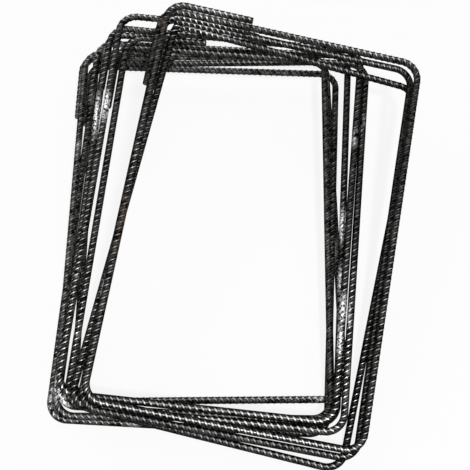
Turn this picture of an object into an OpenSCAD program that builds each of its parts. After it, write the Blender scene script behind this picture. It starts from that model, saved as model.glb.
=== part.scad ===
// Loose pile of closed rectangular stirrups (links), each bent from one length of
// reinforcing bar. Every stirrup lies on the ones beneath it.

/* [Bar] */
// Nominal diameter of the bar
bar_d = 8; // [6:1:12]
// Inside radius of a bend, in bar diameters
bend_ratio = 2; // [1.5:0.25:3]

/* [Stirrup] */
// Outside width of a stirrup, across its short sides
stirrup_w = 300; // [200:10:400]
// Outside length of a stirrup, along its long sides
stirrup_l = 450; // [350:10:600]
// Length of the closing hook that lies along the short side
top_hook_l = 96; // [60:2:120]
// Length of the closing hook that lies along the long side
side_hook_l = 85; // [60:1:110]

/* [Pile] */
// Air left between two bars where they come closest
bar_gap = 0.4; // [0.3:0.1:0.6]

/* [Hidden] */
mill_scale = "#3a3a3c";
$fn = 48;

// Closest that two bar centrelines may come
reach = bar_d + bar_gap;
// Radius of a bend along the centreline
bend_r = (bend_ratio + 0.5) * bar_d;
// Chords that stand for one bend when the stirrups are laid down
bend_chords = 6;

// Half spans of the centreline loop
half_w = (stirrup_w - bar_d) / 2;
half_l = (stirrup_l - bar_d) / 2;

// Each stirrup as it was bent and put down, from the lowest to the topmost:
// [right, up, turn, top, side, wide, long]. Shifts are in millimetres and turns in degrees.
// The hook along the top lies "top" bar diameters outside the top side, and the hook along
// the left "side" bar diameters outside the left side. "wide" and "long" are how many
// millimetres the bending missed the outside width and length by. How high and how level
// a stirrup comes to lie follows from the floor and the stirrups beneath it.
laid = [
    [-29, 25, 1, 0.3, 0.95, 1, -3],
    [-38, -2, 5, 0.4, 0.65, 6, 2],
    [-41, 6, 2.5, 0.1, 0.65, 1, 2],
    [-25, 6, 5.5, 0.9, 1.4, 2, 3],
    [-10, -5, 7.5, 1.1, 1.4, -2, -3],
    [-17, 7, 7.5, 1.6, 1.3, -2, 0],
    [21, -26, 13.5, 1, 0.65, -1, 4],
    [23, -23, 10.5, 0.1, 0.65, 0, 3],
    [28, -21, 10.5, 0.6, 0.65, 1, -3],
];
// Times a stirrup is tipped onto what is beneath it before it has come to rest
tips = 5;

// Corner points of one bar in its own frame: side hook, four sides, top hook.
// The left side climbs one bar, so that its end crosses over the start.
function loop_points(row) =
    let (
        w = half_w + row[5] / 2,
        l = half_l + row[6] / 2,
        top = l + row[3] * bar_d,
        side = w + row[4] * bar_d
    )
    [
        [-side, l - side_hook_l, 0],
        [-side, l, 0],
        [w, l, 0],
        [w, -l, 0],
        [-w, -l, 0],
        [-w, top, reach],
        [-w + top_hook_l, top, reach],
    ];

function unit(v) = v / norm(v);
function flat(v) = [v.x, v.y];
function limits(list, axis) = [min([for (p = list) p[axis]]), max([for (p = list) p[axis]])];

function about_x(p, a) = [p.x, p.y * cos(a) - p.z * sin(a), p.y * sin(a) + p.z * cos(a)];
function about_y(p, a) = [p.x * cos(a) + p.z * sin(a), p.y, p.z * cos(a) - p.x * sin(a)];
function about_z(p, a) = [p.x * cos(a) - p.y * sin(a), p.x * sin(a) + p.y * cos(a), p.z];
// Angles about X and Y that tip a level stirrup to the slopes of its plane
function tipped(slope) = [atan(slope.y), -atan(slope.x), 0];
function posed(row, slope) = [
    for (p = loop_points(row))
        about_y(about_x(about_z(p, -row[2]), tipped(slope).x), tipped(slope).y) + [row[0], row[1], 0]
];

// A bend at corner i: [start of the arc, its centre, its end]
function bend(pts, i) =
    let (
        u = unit(pts[i] - pts[i - 1]),
        v = unit(pts[i + 1] - pts[i])
    )
    [pts[i] - u * bend_r, pts[i] + (v - u) * bend_r, pts[i] + v * bend_r];

// The centreline as a chain of short straight links
function bend_links(b) = [
    for (k = [0:bend_chords])
        b[1] + (b[0] - b[1]) * cos(90 * k / bend_chords) + (b[2] - b[1]) * sin(90 * k / bend_chords)
];
function chain(pts) = [
    pts[0],
    for (i = [1:len(pts) - 2]) each bend_links(bend(pts, i)),
    pts[len(pts) - 1],
];

// Where and how far link a has to be raised to clear link b: [x, y, lift], or nothing
// for links that miss each other
function supported(p, found, lift) = found ? [[p.x, p.y, lift]] : [];
function root_supports(w, u, l, up, p) =
    let (
        wp = w - (w * u) * u,
        zp = up - (up * u) * u,
        aa = zp * zp,
        bb = wp * zp,
        disc = bb * bb - aa * (wp * wp - reach * reach)
    )
    disc < 0 ? [] :
    let (
        h = (-bb + sqrt(disc)) / aa,
        t = (w + h * up) * u
    )
    supported(p, t >= 0 && t <= l, h);
function end_supports(p, b0, b1) =
    root_supports(p - b0, unit(b1 - b0), norm(b1 - b0), [0, 0, 1], p);
function under_supports(q, a0, a1) =
    root_supports(q - a0, unit(a1 - a0), norm(a1 - a0), [0, 0, -1], q);
function ball_supports(p, q) =
    let (s = norm(flat(p - q)))
    supported(p, s < reach, q.z - p.z + sqrt(max(0, reach * reach - s * s)));
function cross_supports(a0, a1, b0, b1) =
    let (
        u = a1 - a0,
        v = b1 - b0,
        c = cross(u, v)
    )
    abs(c.z) < 1e-6 * norm(u) * norm(v) ? [] :
    let (
        n = unit(c) * sign(c.z),
        h = (reach - (a0 - b0) * n) / n.z,
        w = b0 + n * reach - a0 - [0, 0, h],
        det = (u * u) * (v * v) - (u * v) * (u * v),
        s = ((w * u) * (v * v) - (w * v) * (u * v)) / det,
        t = ((w * u) * (u * v) - (w * v) * (u * u)) / det
    )
    supported(a0 + u * s, s >= 0 && s <= 1 && t >= 0 && t <= 1, h);
function apart(a0, a1, b0, b1, axis) =
    min(a0[axis], a1[axis]) > max(b0[axis], b1[axis]) + reach ||
    max(a0[axis], a1[axis]) < min(b0[axis], b1[axis]) - reach;
function link_supports(a0, a1, b0, b1) =
    apart(a0, a1, b0, b1, 0) || apart(a0, a1, b0, b1, 1) ? [] :
    concat(
        cross_supports(a0, a1, b0, b1),
        end_supports(a0, b0, b1),
        end_supports(a1, b0, b1),
        under_supports(b0, a0, a1),
        under_supports(b1, a0, a1),
        ball_supports(a0, b0),
        ball_supports(a1, b1),
        ball_supports(a0, b1),
        ball_supports(a1, b0)
    );
// All that holds a stirrup up: the floor under each of its points, and the bars beneath
function supports(links, below) = [
    for (p = links) [p.x, p.y, bar_d / 2 - p.z],
    for (b = below, i = [1:len(links) - 1], j = [1:len(b[0]) - 1])
        each link_supports(links[i - 1], links[i], b[0][j - 1], b[0][j])
];

// Centre of gravity of a chain, seen from above
function halfway(links) =
    let (
        spans = [for (i = [1:len(links) - 1]) norm(links[i] - links[i - 1])],
        mids = [for (i = [1:len(links) - 1]) flat(links[i] + links[i - 1]) / 2]
    )
    (spans * mids) / (spans * [for (s = spans) 1]);

// The plane over three points as its normal, and its height at a place
function normal(tri) = cross(tri[1] - tri[0], tri[2] - tri[0]);
function height(tri, p) =
    let (n = normal(tri))
    tri[0].z - (n.x * (p.x - tri[0].x) + n.y * (p.y - tri[0].y)) / n.z;
function turns(a, b, p) = sign((b.x - a.x) * (p.y - a.y) - (b.y - a.y) * (p.x - a.x));
function around(tri, p) =
    let (t = [for (i = [0:2]) turns(tri[i], tri[(i + 1) % 3], p)])
    min(t) >= 0 || max(t) <= 0;
// The three points left when a fourth takes the place of one, with p still among them
function taken(tri, s, p) =
    around([s, tri[1], tri[2]], p) ? [s, tri[1], tri[2]] :
    around([tri[0], s, tri[2]], p) ? [tri[0], s, tri[2]] : [tri[0], tri[1], s];
// The lowest plane at p that no support sticks out of, as the three supports it rests on
function resting(all, tri, p) =
    let (
        out = [for (s = all) s.z - height(tri, s)],
        most = max(out)
    )
    most < 1e-6 ? tri : resting(all, taken(tri, all[search(most, out)[0]], p), p);
// Where that search starts: three points far away and far down
function far_down(p) = [for (a = [0:120:240]) [p.x + 1e4 * cos(a), p.y + 1e4 * sin(a), -1e5]];

// Slopes of a stirrup once it has tipped onto what is beneath it
function settled(row, slope, below, left) =
    left == 0 ? slope :
    let (
        links = chain(posed(row, slope)),
        p = halfway(links),
        n = normal(resting(supports(links, below), far_down(p), p))
    )
    settled(row, slope - flat(n) / n.z, below, left - 1);
// One stirrup at rest: [its chain, the slopes of its plane, its lift]
function put_down(row, below) =
    let (
        slope = settled(row, [0, 0], below, tips),
        links = chain(posed(row, slope)),
        lift = limits(supports(links, below), 2)[1]
    )
    [[for (p = links) p + [0, 0, lift]], slope, lift];
// The whole pile, each stirrup laid on the ones before it
function pile(rows, done = []) =
    len(done) == len(rows) ? done :
    pile(rows, concat(done, [put_down(rows[len(done)], done)]));
rests = pile(laid);

// The pile is centred over the origin
outline = [for (rest = rests) each rest[0]];
span_x = limits(outline, 0);
span_y = limits(outline, 1);
centre = [span_x[0] + span_x[1], span_y[0] + span_y[1], 0] / 2;

// Lengths of the straight legs between bends, from the side hook to the top hook
function bends_at(pts, i) = i == 1 || i == len(pts) - 1 ? 1 : 2;
function straights(pts) = [
    for (i = [1:len(pts) - 1])
        norm(pts[i] - pts[i - 1]) - bends_at(pts, i) * bend_r
];
// The bend into the left side is rolled, which makes that side climb
climb_leg = 4;
function climb(pts) = atan(reach / (pts[climb_leg + 1].y - pts[climb_leg].y));

// The leg before the rolled bend stops this far short of it, inside a knuckle that is
// a hair thicker than the bar and joins the two
knuckle_gap = 0.1;
knuckle_d = bar_d + 0.1;

// A quarter bend that starts at the origin along Z and turns towards X
module quarter_bend() {
    translate([bend_r, 0, 0])
        rotate([90, 0, 180])
            rotate_extrude(angle = 90)
                translate([bend_r, 0])
                    circle(d = bar_d);
}

// Bar from leg i to its end, starting at the origin along Z and bending towards X
module bar_from(i, legs, roll) {
    rolls = i + 1 == climb_leg;
    cylinder(h = legs[i] - (rolls ? knuckle_gap : 0), d = bar_d);
    if (i < len(legs) - 1)
        translate([0, 0, legs[i]]) {
            if (rolls)
                sphere(d = knuckle_d);
            rotate([0, 0, rolls ? -roll : 0]) {
                quarter_bend();
                translate([bend_r, 0, bend_r])
                    rotate([0, 90, 0])
                        bar_from(i + 1, legs, roll);
            }
        }
}

module stirrup(number) {
    row = laid[number - 1];
    rest = rests[number - 1];
    pts = loop_points(row);
    color(mill_scale)
        translate([row[0], row[1], rest[2]] - centre)
            rotate(tipped(rest[1]))
                rotate([0, 0, -row[2]])
                    translate(pts[0])
                        rotate([-90, 0, 0])
                            bar_from(0, straights(pts), climb(pts));
}

module stirrup_1() { stirrup(1); }
module stirrup_2() { stirrup(2); }
module stirrup_3() { stirrup(3); }
module stirrup_4() { stirrup(4); }
module stirrup_5() { stirrup(5); }
module stirrup_6() { stirrup(6); }
module stirrup_7() { stirrup(7); }
module stirrup_8() { stirrup(8); }
module stirrup_9() { stirrup(9); }

stirrup_1();
stirrup_2();
stirrup_3();
stirrup_4();
stirrup_5();
stirrup_6();
stirrup_7();
stirrup_8();
stirrup_9();
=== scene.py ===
import math

import bpy
import numpy as np
from mathutils import Matrix, Vector


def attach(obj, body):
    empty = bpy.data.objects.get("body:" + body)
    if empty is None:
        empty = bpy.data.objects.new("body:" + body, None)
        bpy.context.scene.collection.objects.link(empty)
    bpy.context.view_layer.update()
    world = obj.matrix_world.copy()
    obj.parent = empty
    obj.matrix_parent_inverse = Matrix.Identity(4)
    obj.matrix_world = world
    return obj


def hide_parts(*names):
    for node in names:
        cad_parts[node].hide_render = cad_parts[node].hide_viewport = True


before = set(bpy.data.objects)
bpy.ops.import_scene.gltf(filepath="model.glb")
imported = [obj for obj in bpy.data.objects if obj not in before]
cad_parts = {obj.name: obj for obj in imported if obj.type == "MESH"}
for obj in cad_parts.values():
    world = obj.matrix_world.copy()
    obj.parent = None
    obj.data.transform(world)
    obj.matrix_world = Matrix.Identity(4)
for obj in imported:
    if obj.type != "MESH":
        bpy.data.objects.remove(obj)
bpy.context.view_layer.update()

# ---------------------------------------------------------- the stirrups
# Sizes of a stirrup as in the part, in metres
BAR = 0.008
REACH = BAR + 0.0004  # how far the left side has climbed where it meets the top hook
BEND = 2.5 * BAR
HALF_W = (0.300 - BAR) / 2
HALF_L = (0.450 - BAR) / 2
TOP_HOOK, SIDE_HOOK = 0.096, 0.085
# Each stirrup as bent: how far its hooks lie outside its top and its left side, in bar
# diameters, and how far its width and length are off, in millimetres. Then its finish:
# how pale its scale is, how much rust and bare steel, and how bright its rubbed ribs and
# painted highlights are
STIRRUPS = [
    ((0.3, 0.95, 1, -3), (0.95, 0.02, 0.00, 0.60)),
    ((0.4, 0.65, 6, 2), (1.20, 0.00, 0.02, 0.55)),
    ((0.1, 0.65, 1, 2), (1.65, 0.03, 0.03, 0.45)),
    ((0.9, 1.40, 2, 3), (0.95, 0.00, 0.03, 0.95)),
    ((1.1, 1.40, -2, -3), (0.95, 0.02, 0.02, 1.00)),
    ((1.6, 1.30, -2, 0), (1.00, 0.01, 0.00, 0.95)),
    ((1.0, 0.65, -1, 4), (0.65, 0.04, -0.04, 0.70)),
    ((0.1, 0.65, 0, 3), (0.72, 0.05, -0.03, 0.55)),
    ((0.6, 0.65, 1, -3), (0.90, 0.06, -0.05, 0.78)),
]

# The ribbed surface, in metres
CORE = 0.00375  # radius between the ribs
RIB = 0.00062  # height of a rib
SEAM = 0.00022  # height of the seam on each side
SEAM_WIDTH = 0.14  # as a sine
PITCH = 0.0068  # from rib to rib
LEAN = -0.0040  # how far a rib runs along the bar from one seam to the crown
# Across one rib: place in the pitch, share of the rib's height, share of the painted shade at
# its roots
RIB_PROFILE = [
    (0.00, 0.00, 0.0), (0.32, 0.00, 1.0), (0.42, 0.62, 0.2), (0.49, 1.00, 0.0),
    (0.57, 1.00, 0.0), (0.64, 0.62, 0.2), (0.74, 0.00, 1.0),
]
UNEVEN_RIBS, ROUGHNESS = 0.05, 0.00002
PLAIN_END = 0.0012  # no ring of the ribbed surface comes nearer to a cut end
BEVEL = [(CORE * 0.97, 0.0), (CORE * 0.80, 0.0003)]  # radius and push of a cut end's rings
CUT_INSET, TORN = 0.0005, 0.00005

# How the mesh is divided
SIDES = 28
STEP = 0.0002  # between points of the centre line

# The marks rubbed on the ribs, with painted highlights along the crown: reach each way from the
# crown, in radians, and strength
DOT_REACH, DOT = 0.31, 1.3
LINE_REACH, LINE = 0.16, 0.46
TICK_REACH, TICK = 0.74, 0.50
TRACE = 0.26


def unit(v):
    return v / np.linalg.norm(v, axis=-1, keepdims=True)


class Path:
    """The centre of one bar in its own frame, as closely spaced points."""

    def __init__(self, top, side, wide, long):
        # half of so many millimetres on each side
        w, l = HALF_W + wide / 2000, HALF_L + long / 2000
        top, side = l + top * BAR, w + side * BAR
        corners = np.array([
            [-side, l - SIDE_HOOK, 0],
            [-side, l, 0],
            [w, l, 0],
            [w, -l, 0],
            [-w, -l, 0],
            [-w, top, REACH],
            [-w + TOP_HOOK, top, REACH],
        ])
        pieces, tangents = [], []
        start = corners[0]
        last = len(corners) - 1
        for i in range(1, last + 1):
            # the straight up to this corner, and the bend round it
            u = unit(corners[i] - corners[i - 1])
            end = corners[i] - u * BEND if i < last else corners[i]
            n = max(2, int(np.linalg.norm(end - start) / STEP))
            t = np.linspace(0, 1, n, endpoint=False)[:, None]
            pieces.append(start + (end - start) * t)
            tangents.append(np.repeat(u[None], n, 0))
            if i < last:
                v = unit(corners[i + 1] - corners[i])
                middle = corners[i] + (v - u) * BEND
                n = int(BEND * math.pi / 2 / STEP)
                a = np.linspace(0, math.pi / 2, n, endpoint=False)[:, None]
                pieces.append(middle - v * BEND * np.cos(a) + u * BEND * np.sin(a))
                tangents.append(u * np.cos(a) + v * np.sin(a))
                start = middle + u * BEND
            else:
                pieces.append(end[None])
                tangents.append(u[None])
        self.points, self.tangents = np.vstack(pieces), np.vstack(tangents)
        steps = np.linalg.norm(np.diff(self.points, axis=0), axis=1)
        self.arc = np.concatenate([[0], np.cumsum(steps)])
        self.length = self.arc[-1]
        # normals carried along without twist
        n = np.array([0.0, 0.0, 1.0])
        self.normals = np.zeros_like(self.points)
        for i, t in enumerate(self.tangents):
            n = unit(n - t * (n @ t))
            self.normals[i] = n
        self.sideways = np.cross(self.tangents, self.normals)

    def at(self, values, s):
        """One of the rows above, read off at the lengths s along the bar."""
        return np.stack([np.interp(s, self.arc, values[:, k]) for k in range(3)], -1)


# --------------------------------------------- where each CAD stirrup lies
FIT_POINTS, FIT_ROUNDS = 600, 40
FIT_EVERY = 8  # of so many points of the centre line one is used
LARGEST_TURN = 0.1  # in radians, in one round
STILL = 1e-7  # a round that moves it less than this is the last


def fitted(verts, path, turn, shift):
    """Moves the bar until its surface goes through the points. Returns error, turn, shift."""
    points, tangents = path.points[::FIT_EVERY], path.tangents[::FIT_EVERY]
    for k in range(FIT_ROUNDS):
        local = (verts - shift) @ turn
        gap = np.linalg.norm(local[:, None] - points[None], axis=2)
        near = gap.argmin(1)
        away = local - points[near]
        away -= tangents[near] * np.sum(away * tangents[near], 1, keepdims=True)
        dist = np.linalg.norm(away, axis=1)
        n = away / dist[:, None]
        miss = dist - BAR / 2
        rows = np.hstack([np.cross(local, n), n])
        step = np.linalg.lstsq(rows, -miss, rcond=None)[0]
        w = step[:3]
        if np.linalg.norm(w) > LARGEST_TURN:
            step *= LARGEST_TURN / np.linalg.norm(w)
            w = step[:3]
        angle = np.linalg.norm(w)
        spin = np.array(Matrix.Rotation(angle, 3, Vector(w / max(angle, 1e-12))))
        shift = shift + turn @ (-spin.T @ step[3:])
        turn = turn @ spin.T
        if k > 3 and np.abs(step).max() < STILL:
            break
    return np.abs(miss).mean(), turn, shift


def placed(node, path):
    """The rotation and shift that take the bar's own frame onto this CAD node."""
    verts = np.array([v.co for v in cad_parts[node].data.vertices])
    verts = verts[::max(1, len(verts) // FIT_POINTS)]
    middle = verts.mean(0)
    axes = np.linalg.eigh(np.cov((verts - middle).T))[1][:, ::-1]
    x, y = axes[:, 1], axes[:, 0]
    home = path.points[::FIT_EVERY].mean(0)
    tries = []
    for sx, sy in ((1, 1), (1, -1), (-1, 1), (-1, -1)):
        turn = np.stack([x * sx, y * sy, np.cross(x * sx, y * sy)], 1)
        tries.append(fitted(verts, path, turn, middle - turn @ home))
    error, turn, shift = min(tries, key=lambda found: found[0])
    print(f"{node}: bar found to {error * 1000:.3f} mm")
    return turn, shift


# ------------------------------------------------------------- ribbed bar
def rib_rings(length, offset):
    """The mesh's rings along the bar: their places, shares of rib height and of painted shade
    at the roots.
    """
    rows = [
        (offset + (k + place) * PITCH, height, root_shade_share)
        for k in range(-1, int(length / PITCH) + 2)
        for place, height, root_shade_share in RIB_PROFILE
    ]
    return np.array([row for row in rows if PLAIN_END < row[0] < length - PLAIN_END]).T


def rubbed_and_highlight_marks(path, rings, heights, from_crown, crescent):
    """How far each point is rubbed bright or carries a painted highlight: short dots and a thin
    painted highlight line along the short sides, fine ticks across the long ones, and a trace
    on every rib all the way round."""
    across = np.abs(np.interp(rings, path.arc, path.tangents[:, 0]))[:, None]
    broad = np.clip(heights * 1.6, 0, 1)[:, None]
    narrow = np.clip(heights * 3 - 2, 0, 1)[:, None]
    x, y, _ = path.at(path.points, rings).T[..., None]
    x, y = x / HALF_W, y / HALF_L
    dots = broad * np.exp(-(from_crown / DOT_REACH) ** 2) * DOT
    lines = (1 - broad) * np.exp(-(from_crown / LINE_REACH) ** 2) * LINE
    # painted highlights: brighter towards -y where the key light stands, dots on the short
    # sides and ticks on the long ones; the ticks narrower and dimmer to the right and towards
    # +y
    dots = (dots + lines) * (1 - 0.10 * y)
    ticks = narrow * np.exp(-(from_crown / (TICK_REACH - 0.14 * x)) ** 2)
    ticks = ticks * (TICK - 0.03 * x - 0.18 * y)
    return np.maximum(ticks + (dots - ticks) * across ** 2, TRACE * narrow * crescent)


def cut_end(path, at, inset, angle, rng):
    """Two rings for a cut end, with a small bevel and a slightly torn flat, outer one first."""
    rings = []
    for radius, push in BEVEL:
        centre, along, n, b = (values[at] for values in (
            path.points, path.tangents, path.normals, path.sideways))
        torn = rng.normal(0, TORN, SIDES)[:, None]
        rings.append(centre - along * inset * (CUT_INSET - push - torn) + radius * (
            n * np.cos(angle)[:, None] + b * np.sin(angle)[:, None]))
    return rings


def tube(name, verts):
    """A mesh through rings of SIDES points each, smooth, with a flat face on each end."""
    rings = len(verts) // SIDES
    i, j = np.meshgrid(np.arange(rings - 1), np.arange(SIDES), indexing="ij")
    here, there = i * SIDES, (i + 1) * SIDES
    nxt = (j + 1) % SIDES
    quads = np.stack([here + j, here + nxt, there + nxt, there + j], -1)
    faces = quads.reshape(-1, 4).tolist()
    faces.append(list(range(SIDES))[::-1])
    faces.append([(rings - 1) * SIDES + k for k in range(SIDES)])
    mesh = bpy.data.meshes.new(name)
    mesh.from_pydata(verts.tolist(), [], faces)
    mesh.shade_smooth()
    for face in mesh.polygons[-2:]:
        face.use_smooth = False
    return mesh


def ribbed_bar(name, bent, seed):
    """One bar with inclined crescent ribs on both faces and a thin seam on each side."""
    rng = np.random.default_rng(seed)
    path = Path(*bent)
    turn, shift = placed(name, path)
    offset = rng.uniform(0, PITCH)
    roll = math.pi / 2 + rng.uniform(-0.2, 0.2)
    twist = rng.uniform(-0.4, 0.4)
    # round the bar: two faces with a crown in the middle, and a seam on each side
    theta = np.linspace(0, 2 * math.pi, SIDES, endpoint=False)
    half = theta % math.pi
    slant = LEAN * (half / math.pi * 2 - 1) * np.where(theta < math.pi, 1, -1)
    crescent = np.clip(np.sin(half) * 1.5 - 0.2, 0, 1)
    seam = np.exp(-(np.sin(theta) / SEAM_WIDTH) ** 2) * SEAM

    rings, heights, root_shade_share = rib_rings(path.length, offset)
    fade = np.clip(np.minimum(rings, path.length - rings) / abs(2 * LEAN), 0, 1)
    s = rings[:, None] + slant[None] * fade[:, None]
    uneven = rng.normal(0, UNEVEN_RIBS, (len(rings), 1)) * heights[:, None]
    high = np.clip(heights[:, None] * crescent[None] * (1 + uneven), 0, 1.1)
    radius = CORE + RIB * high + seam[None] + rng.normal(0, ROUGHNESS, high.shape)
    angle = theta[None] + roll + twist * (s / path.length - 0.5)
    points = path.at(path.points, s) + radius[..., None] * (
        path.at(path.normals, s) * np.cos(angle)[..., None]
        + path.at(path.sideways, s) * np.sin(angle)[..., None])
    first = cut_end(path, 0, -1.0, angle[0], rng)
    final = cut_end(path, -1, 1.0, angle[-1], rng)

    rows = [first[1], first[0], *points, final[0], final[1]]
    mesh = tube(name + "_ribbed", np.concatenate(rows) @ turn.T + shift)

    # red: painted shade at the rib roots, green: the cut ends, blue: the rubbed marks with
    # their painted highlights
    relief = np.zeros((len(rows), SIDES, 4), np.float32)
    relief[2:-2, :, 0] = root_shade_share[:, None] * crescent
    relief[[0, -1], :, 1] = 1
    relief[2:-2, :, 2] = rubbed_and_highlight_marks(path, rings, heights, half - math.pi / 2, crescent)
    relief[..., 3] = 1
    colour = mesh.attributes.new("relief", "FLOAT_COLOR", "POINT")
    colour.data.foreach_set("color", relief.ravel())
    mesh.update()
    piece = bpy.data.objects.new(name + "_ribbed", mesh)
    bpy.context.collection.objects.link(piece)
    return piece


# -------------------------------------------------------------- materials
# Places on the pile, each a middle and a reach each way: where the scale has come off,
# where rust shows, where the painted highlights on the ribs are strongest and stronger,
# and where painted shade dims the rib marks
BARE = [
    ((-0.1650, 0.150, 0.0555), (0.008, 0.036, 0.008)),
    ((-0.1500, 0.145, 0.0780), (0.008, 0.022, 0.008)),
    ((-0.1905, -0.187, 0.0285), (0.012, 0.012, 0.006)),
    ((-0.2015, -0.172, 0.0165), (0.005, 0.014, 0.006)),
    ((0.1065, -0.100, 0.0480), (0.005, 0.018, 0.008)),
    ((0.1020, -0.133, 0.0450), (0.005, 0.020, 0.008)),
    ((0.1130, -0.104, 0.0475), (0.004, 0.020, 0.007)),
    ((0.1168, 0.000, 0.0410), (0.008, 0.026, 0.009)),
    ((0.1107, -0.064, 0.0365), (0.008, 0.016, 0.009)),
]
RUSTY = [
    ((-0.081, 0.200, 0.148), (0.014, 0.018, 0.012)),
    ((-0.123, -0.010, 0.106), (0.012, 0.055, 0.012)),
    ((0.1145, -0.027, 0.0390), (0.008, 0.012, 0.009)),
]
# painted highlights: the rib marks largest and brightest here
BRIGHTEST_MARKS = [
    ((-0.035, 0.2180, 0.128), (0.062, 0.016, 0.026)),
]
# painted highlights: the rib marks brighter here
BRIGHTER_MARKS = [
    ((0.132, -0.160, 0.0280), (0.050, 0.135, 0.050)),
]
# painted shade: the rib marks dimmed where the ribs lie in shade
SHADED_MARKS = [
    ((-0.090, 0.145, 0.1330), (0.032, 0.090, 0.030)),
    ((-0.183, 0.120, 0.0170), (0.014, 0.140, 0.013)),
    ((0.133, 0.090, 0.0600), (0.020, 0.150, 0.018)),
    ((0.1045, 0.085, 0.0370), (0.007, 0.110, 0.010)),
    ((0.0955, -0.115, 0.0255), (0.007, 0.110, 0.009)),
    ((0.196, 0.082, 0.0780), (0.035, 0.110, 0.040)),
]

# Colours
DARK_SCALE, PALE_SCALE = (0.0035, 0.0035, 0.0036), (0.089, 0.0886, 0.0854)
FLECK = (0.16, 0.155, 0.14)
# painted shade in the recesses at the rib roots
ROOT_SHADE = (0.0025, 0.0025, 0.0025)
SILVER = (0.30, 0.30, 0.30)
SCRAPED = (0.68, 0.68, 0.69)
# near white: rubbed rib crests and painted highlights
RUBBED_AND_HIGHLIGHT = (0.88, 0.88, 0.87)
RUST = (0.060, 0.033, 0.020)
CUT_FACE = (0.17, 0.15, 0.135)


class Nodes:
    """A node tree, with a short call for each kind of node used here."""

    def __init__(self, owner, clear=True):
        owner.use_nodes = True
        self.tree = owner.node_tree
        if clear:
            self.tree.nodes.clear()

    def add(self, kind, **settings):
        node = self.tree.nodes.new(kind)
        for key, value in settings.items():
            setattr(node, key, value)
        return node

    def put(self, value, socket):
        """Links an output to the socket, or sets the socket to a number, vector or colour."""
        if isinstance(value, bpy.types.NodeSocket):
            self.tree.links.new(value, socket)
        elif socket.type == "RGBA":
            socket.default_value = (*value, 1)
        else:
            socket.default_value = value

    def maths(self, operation, a, b):
        node = self.add("ShaderNodeMath", operation=operation)
        self.put(a, node.inputs[0])
        self.put(b, node.inputs[1])
        return node.outputs[0]

    def times(self, a, b):
        return self.maths("MULTIPLY", a, b)

    def largest(self, first, *others):
        for other in others:
            first = self.maths("MAXIMUM", first, other)
        return first

    def vector(self, operation, a, b=None):
        node = self.add("ShaderNodeVectorMath", operation=operation)
        self.put(a, node.inputs[0])
        if b is not None:
            self.put(b, node.inputs[1])
        return node.outputs["Value" if operation == "LENGTH" else "Vector"]

    def ramp(self, value, low, high, a=0.0, b=1.0):
        """a up to low, b beyond high, and evenly from one to the other between."""
        node = self.add("ShaderNodeMapRange")
        for socket, number in (("Value", value), ("From Min", low), ("From Max", high),
                               ("To Min", a), ("To Max", b)):
            self.put(number, node.inputs[socket])
        return node.outputs["Result"]

    def blend(self, share, a, b):
        node = self.add("ShaderNodeMix", data_type="RGBA")
        self.put(share, node.inputs["Factor"])
        self.put(a, node.inputs[6])
        self.put(b, node.inputs[7])
        return node.outputs[2]

    def noise(self, place, scale, detail, roughness):
        node = self.add("ShaderNodeTexNoise")
        self.put(place, node.inputs["Vector"])
        self.put(scale, node.inputs["Scale"])
        self.put(detail, node.inputs["Detail"])
        self.put(roughness, node.inputs["Roughness"])
        return node.outputs["Fac"]

    def around(self, place, spots):
        """1 in the middle of any of the spots, 0 beyond their reach."""
        return self.largest(*(
            self.ramp(self.vector("LENGTH", self.vector(
                "DIVIDE", self.vector("SUBTRACT", place, middle), reach)), 1.2, 0.5)
            for middle, reach in spots))

    def seen(self):
        """1 for what the camera sees straight or in a reflection, 0 for what only lights."""
        rays = self.add("ShaderNodeLightPath").outputs
        return self.largest(
            rays["Is Camera Ray"], rays["Is Glossy Ray"], rays["Is Transmission Ray"])


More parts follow.
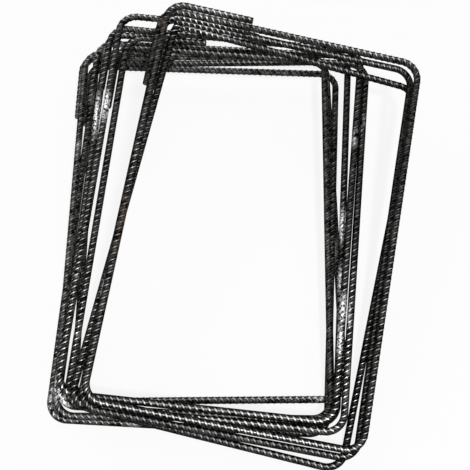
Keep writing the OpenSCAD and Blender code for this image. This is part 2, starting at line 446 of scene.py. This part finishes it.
def mill_scale(name, shade, rust, bare, rub_and_highlight, shift):
    """Hot-rolled bar: dark scale, worn bright on the ribs with painted highlights, with painted
    shade at the rib roots, with silvery and rusty stretches.
    """
    mat = bpy.data.materials.new(name)
    nodes = Nodes(mat)
    ramp, times, blend, put = nodes.ramp, nodes.times, nodes.blend, nodes.put
    place = nodes.add("ShaderNodeTexCoord").outputs["Object"]
    moved = nodes.vector("ADD", place, shift)
    relief = nodes.add("ShaderNodeVertexColor", layer_name="relief")
    parts = nodes.add("ShaderNodeSeparateColor")
    put(relief.outputs["Color"], parts.inputs["Color"])
    root_shade_mask, cut, wear_and_highlight = parts.outputs["Red"], parts.outputs["Green"], parts.outputs["Blue"]
    xyz = nodes.add("ShaderNodeSeparateXYZ")
    put(place, xyz.inputs[0])

    grain = nodes.noise(moved, 900, 4, 0.6)
    mottle = nodes.noise(moved, 160, 3, 0.6)
    patch = nodes.noise(moved, 14, 2, 0.5)
    rusty = nodes.noise(moved, 22, 3, 0.65)
    scraping = nodes.noise(moved, 330, 2, 0.6)
    uneven = nodes.noise(moved, 7, 1, 0.5)

    # scale: dark and pale in a mottle, paler at the left as painted light, with flecks and
    # painted shade at the rib roots
    dark = tuple(c * shade for c in DARK_SCALE)
    pale = tuple(c * shade for c in PALE_SCALE)
    # the mottle is the scale's own tone; the ramp in X is painted light, paler to the left
    # where the light falls
    paler_mottle_and_left_light = times(ramp(mottle, 0.38, 0.66), ramp(xyz.outputs["X"], -0.20, 0.20, 1.0, 0.77))
    colour = blend(paler_mottle_and_left_light, dark, pale)
    colour = blend(ramp(grain, 0.58, 0.70, 0.0, 0.5), colour, FLECK)
    # painted shade darkens the rib roots
    colour = blend(ramp(root_shade_mask, 0.1, 1.0, 0.0, 0.9), colour, ROOT_SHADE)

    # bare steel: faint patches anywhere, bright ones where the scale is scraped off
    silver = times(ramp(patch, 0.66 - bare, 0.76 - bare), ramp(mottle, 0.44, 0.56))
    colour = blend(silver, colour, SILVER)
    scraped = times(nodes.around(place, BARE), ramp(scraping, 0.41, 0.57))
    colour = blend(scraped, colour, SCRAPED)

    # the rubbed marks: rib crests rubbed bright, with painted highlights
    level = times(ramp(uneven, 0.40, 0.60, 0.62, 1.0), ramp(mottle, 0.30, 0.50, 0.70, 1.0))
    # painted highlights: larger and brighter dots where the hooks catch the light
    brightest_marks_share = nodes.around(place, BRIGHTEST_MARKS)
    wider = times(wear_and_highlight, ramp(brightest_marks_share, 0.0, 1.0, 1.0, 3.0))
    worn_and_highlight = times(ramp(wider, 0.15, 0.90, 0.0, rub_and_highlight), nodes.maths("ADD", level, brightest_marks_share))
    # painted shade dims the rib marks in these places
    worn_and_highlight = times(worn_and_highlight, ramp(nodes.around(place, SHADED_MARKS), 0.0, 1.0, 1.0, 0.3))
    worn_and_highlight = times(worn_and_highlight, ramp(nodes.around(place, BRIGHTER_MARKS), 0.0, 1.0, 1.0, 1.6))
    # the painted highlights and rubbed crests laid over the scale
    colour = blend(worn_and_highlight, colour, RUBBED_AND_HIGHLIGHT)

    # rust, and the cut ends
    scattered = ramp(rusty, 0.70 - rust, 0.86 - rust, 0.0, 0.7)
    gathered = nodes.largest(scattered, nodes.around(place, RUSTY))
    browned = times(gathered, ramp(mottle, 0.44, 0.60, 0.0, 0.7))
    colour = blend(browned, colour, RUST)
    colour = blend(ramp(cut, 0.5, 1.0), colour, CUT_FACE)

    bsdf = nodes.add("ShaderNodeBsdfPrincipled")
    put(colour, bsdf.inputs["Base Color"])
    put(nodes.maths("SUBTRACT", ramp(grain, 0.3, 0.7, 0.40, 0.56),
                    ramp(worn_and_highlight, 0.0, 1.0, 0.0, 0.22)), bsdf.inputs["Roughness"])
    put(ramp(browned, 0.0, 0.7, 1.0, 0.3), bsdf.inputs["Metallic"])
    put((0.05, 0.05, 0.05), bsdf.inputs["Specular Tint"])
    bump = nodes.add("ShaderNodeBump")
    put(0.35, bump.inputs["Strength"])
    put(0.00025, bump.inputs["Distance"])
    put(times(grain, mottle), bump.inputs["Height"])
    put(bump.outputs["Normal"], bsdf.inputs["Normal"])
    put(bsdf.outputs["BSDF"], nodes.add("ShaderNodeOutputMaterial").inputs["Surface"])
    return mat


for number, (name, (bent, finish)) in enumerate(zip(sorted(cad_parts), STIRRUPS)):
    piece = ribbed_bar(name, bent, number + 1)
    mat = mill_scale(f"mill_scale_{number + 1}", *finish, (number * 0.31, number * 0.17, 0.0))
    piece.data.materials.append(mat)
    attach(piece, "root")
    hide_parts(name)
    node_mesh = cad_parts[name].data
    if node_mesh.materials:
        node_mesh.materials[0] = mat
    else:
        node_mesh.materials.append(mat)

# ---------------------------------------------------- floor, light, camera
FLOOR = 4.0  # half its width
floor_mesh = bpy.data.meshes.new("floor")
floor_mesh.from_pydata(
    [(-FLOOR, -FLOOR, 0), (FLOOR, -FLOOR, 0), (FLOOR, FLOOR, 0), (-FLOOR, FLOOR, 0)],
    [], [(0, 1, 2, 3)])
floor = bpy.data.objects.new("floor", floor_mesh)
bpy.context.collection.objects.link(floor)
# the floor looks almost white, but lights the bars from below only as grey plaster does
plaster = bpy.data.materials.new("pale_floor")
nodes = Nodes(plaster)
matt = nodes.add("ShaderNodeBsdfDiffuse")
nodes.put((0.80, 0.80, 0.80), matt.inputs["Color"])
glow = nodes.add("ShaderNodeEmission")
nodes.put(1.0, glow.inputs["Strength"])
mix = nodes.add("ShaderNodeMixShader")
nodes.put(nodes.times(nodes.seen(), 0.88), mix.inputs["Fac"])
nodes.put(matt.outputs[0], mix.inputs[1])
nodes.put(glow.outputs[0], mix.inputs[2])
nodes.put(mix.outputs[0], nodes.add("ShaderNodeOutputMaterial").inputs["Surface"])
floor_mesh.materials.append(plaster)

# the background looks white, and lights the bars less than it shows
world = bpy.data.worlds.new("studio")
bpy.context.scene.world = world
nodes = Nodes(world, clear=False)
back = nodes.tree.nodes["Background"]
nodes.put((1, 1, 1), back.inputs["Color"])
nodes.put(nodes.ramp(nodes.seen(), 0.0, 1.0, 0.35, 1.0), back.inputs["Strength"])


def lamp(name, place, size, power):
    light = bpy.data.lights.new(name, "AREA")
    light.shape = "DISK"
    light.size = size
    light.energy = power
    obj = bpy.data.objects.new(name, light)
    bpy.context.collection.objects.link(obj)
    target = Vector((0, 0, 0.05))
    obj.location = place
    obj.rotation_euler = (target - Vector(place)).to_track_quat("-Z", "Y").to_euler()


lamp("key", (0.76, -1.90, 3.8), 0.44, 132)
lamp("fill", (-1.2, 1.4, 1.6), 1.0, 10)

SENSOR, LENS = 36, 69.93191  # in millimetres
DISTANCE = 1.072
TILT, ROLL = math.radians(24.9), math.radians(-1.45)
LOOK_AT = Vector((-0.0049, 0.0110, 0))
camera = bpy.data.objects.new("camera", bpy.data.cameras.new("camera"))
bpy.context.collection.objects.link(camera)
bpy.context.scene.camera = camera
camera.data.sensor_width = SENSOR
camera.data.lens = LENS
camera.data.clip_end = 50
right = Vector((1, 0, 0))
up = Vector((0, math.cos(TILT), math.sin(TILT)))
away = right.cross(up)
camera.location = LOOK_AT + DISTANCE * away
right, up = (right * math.cos(ROLL) + up * math.sin(ROLL),
             up * math.cos(ROLL) - right * math.sin(ROLL))
camera.rotation_euler = Matrix((right, up, away)).transposed().to_euler()

bpy.context.scene.view_settings.view_transform = "Standard"
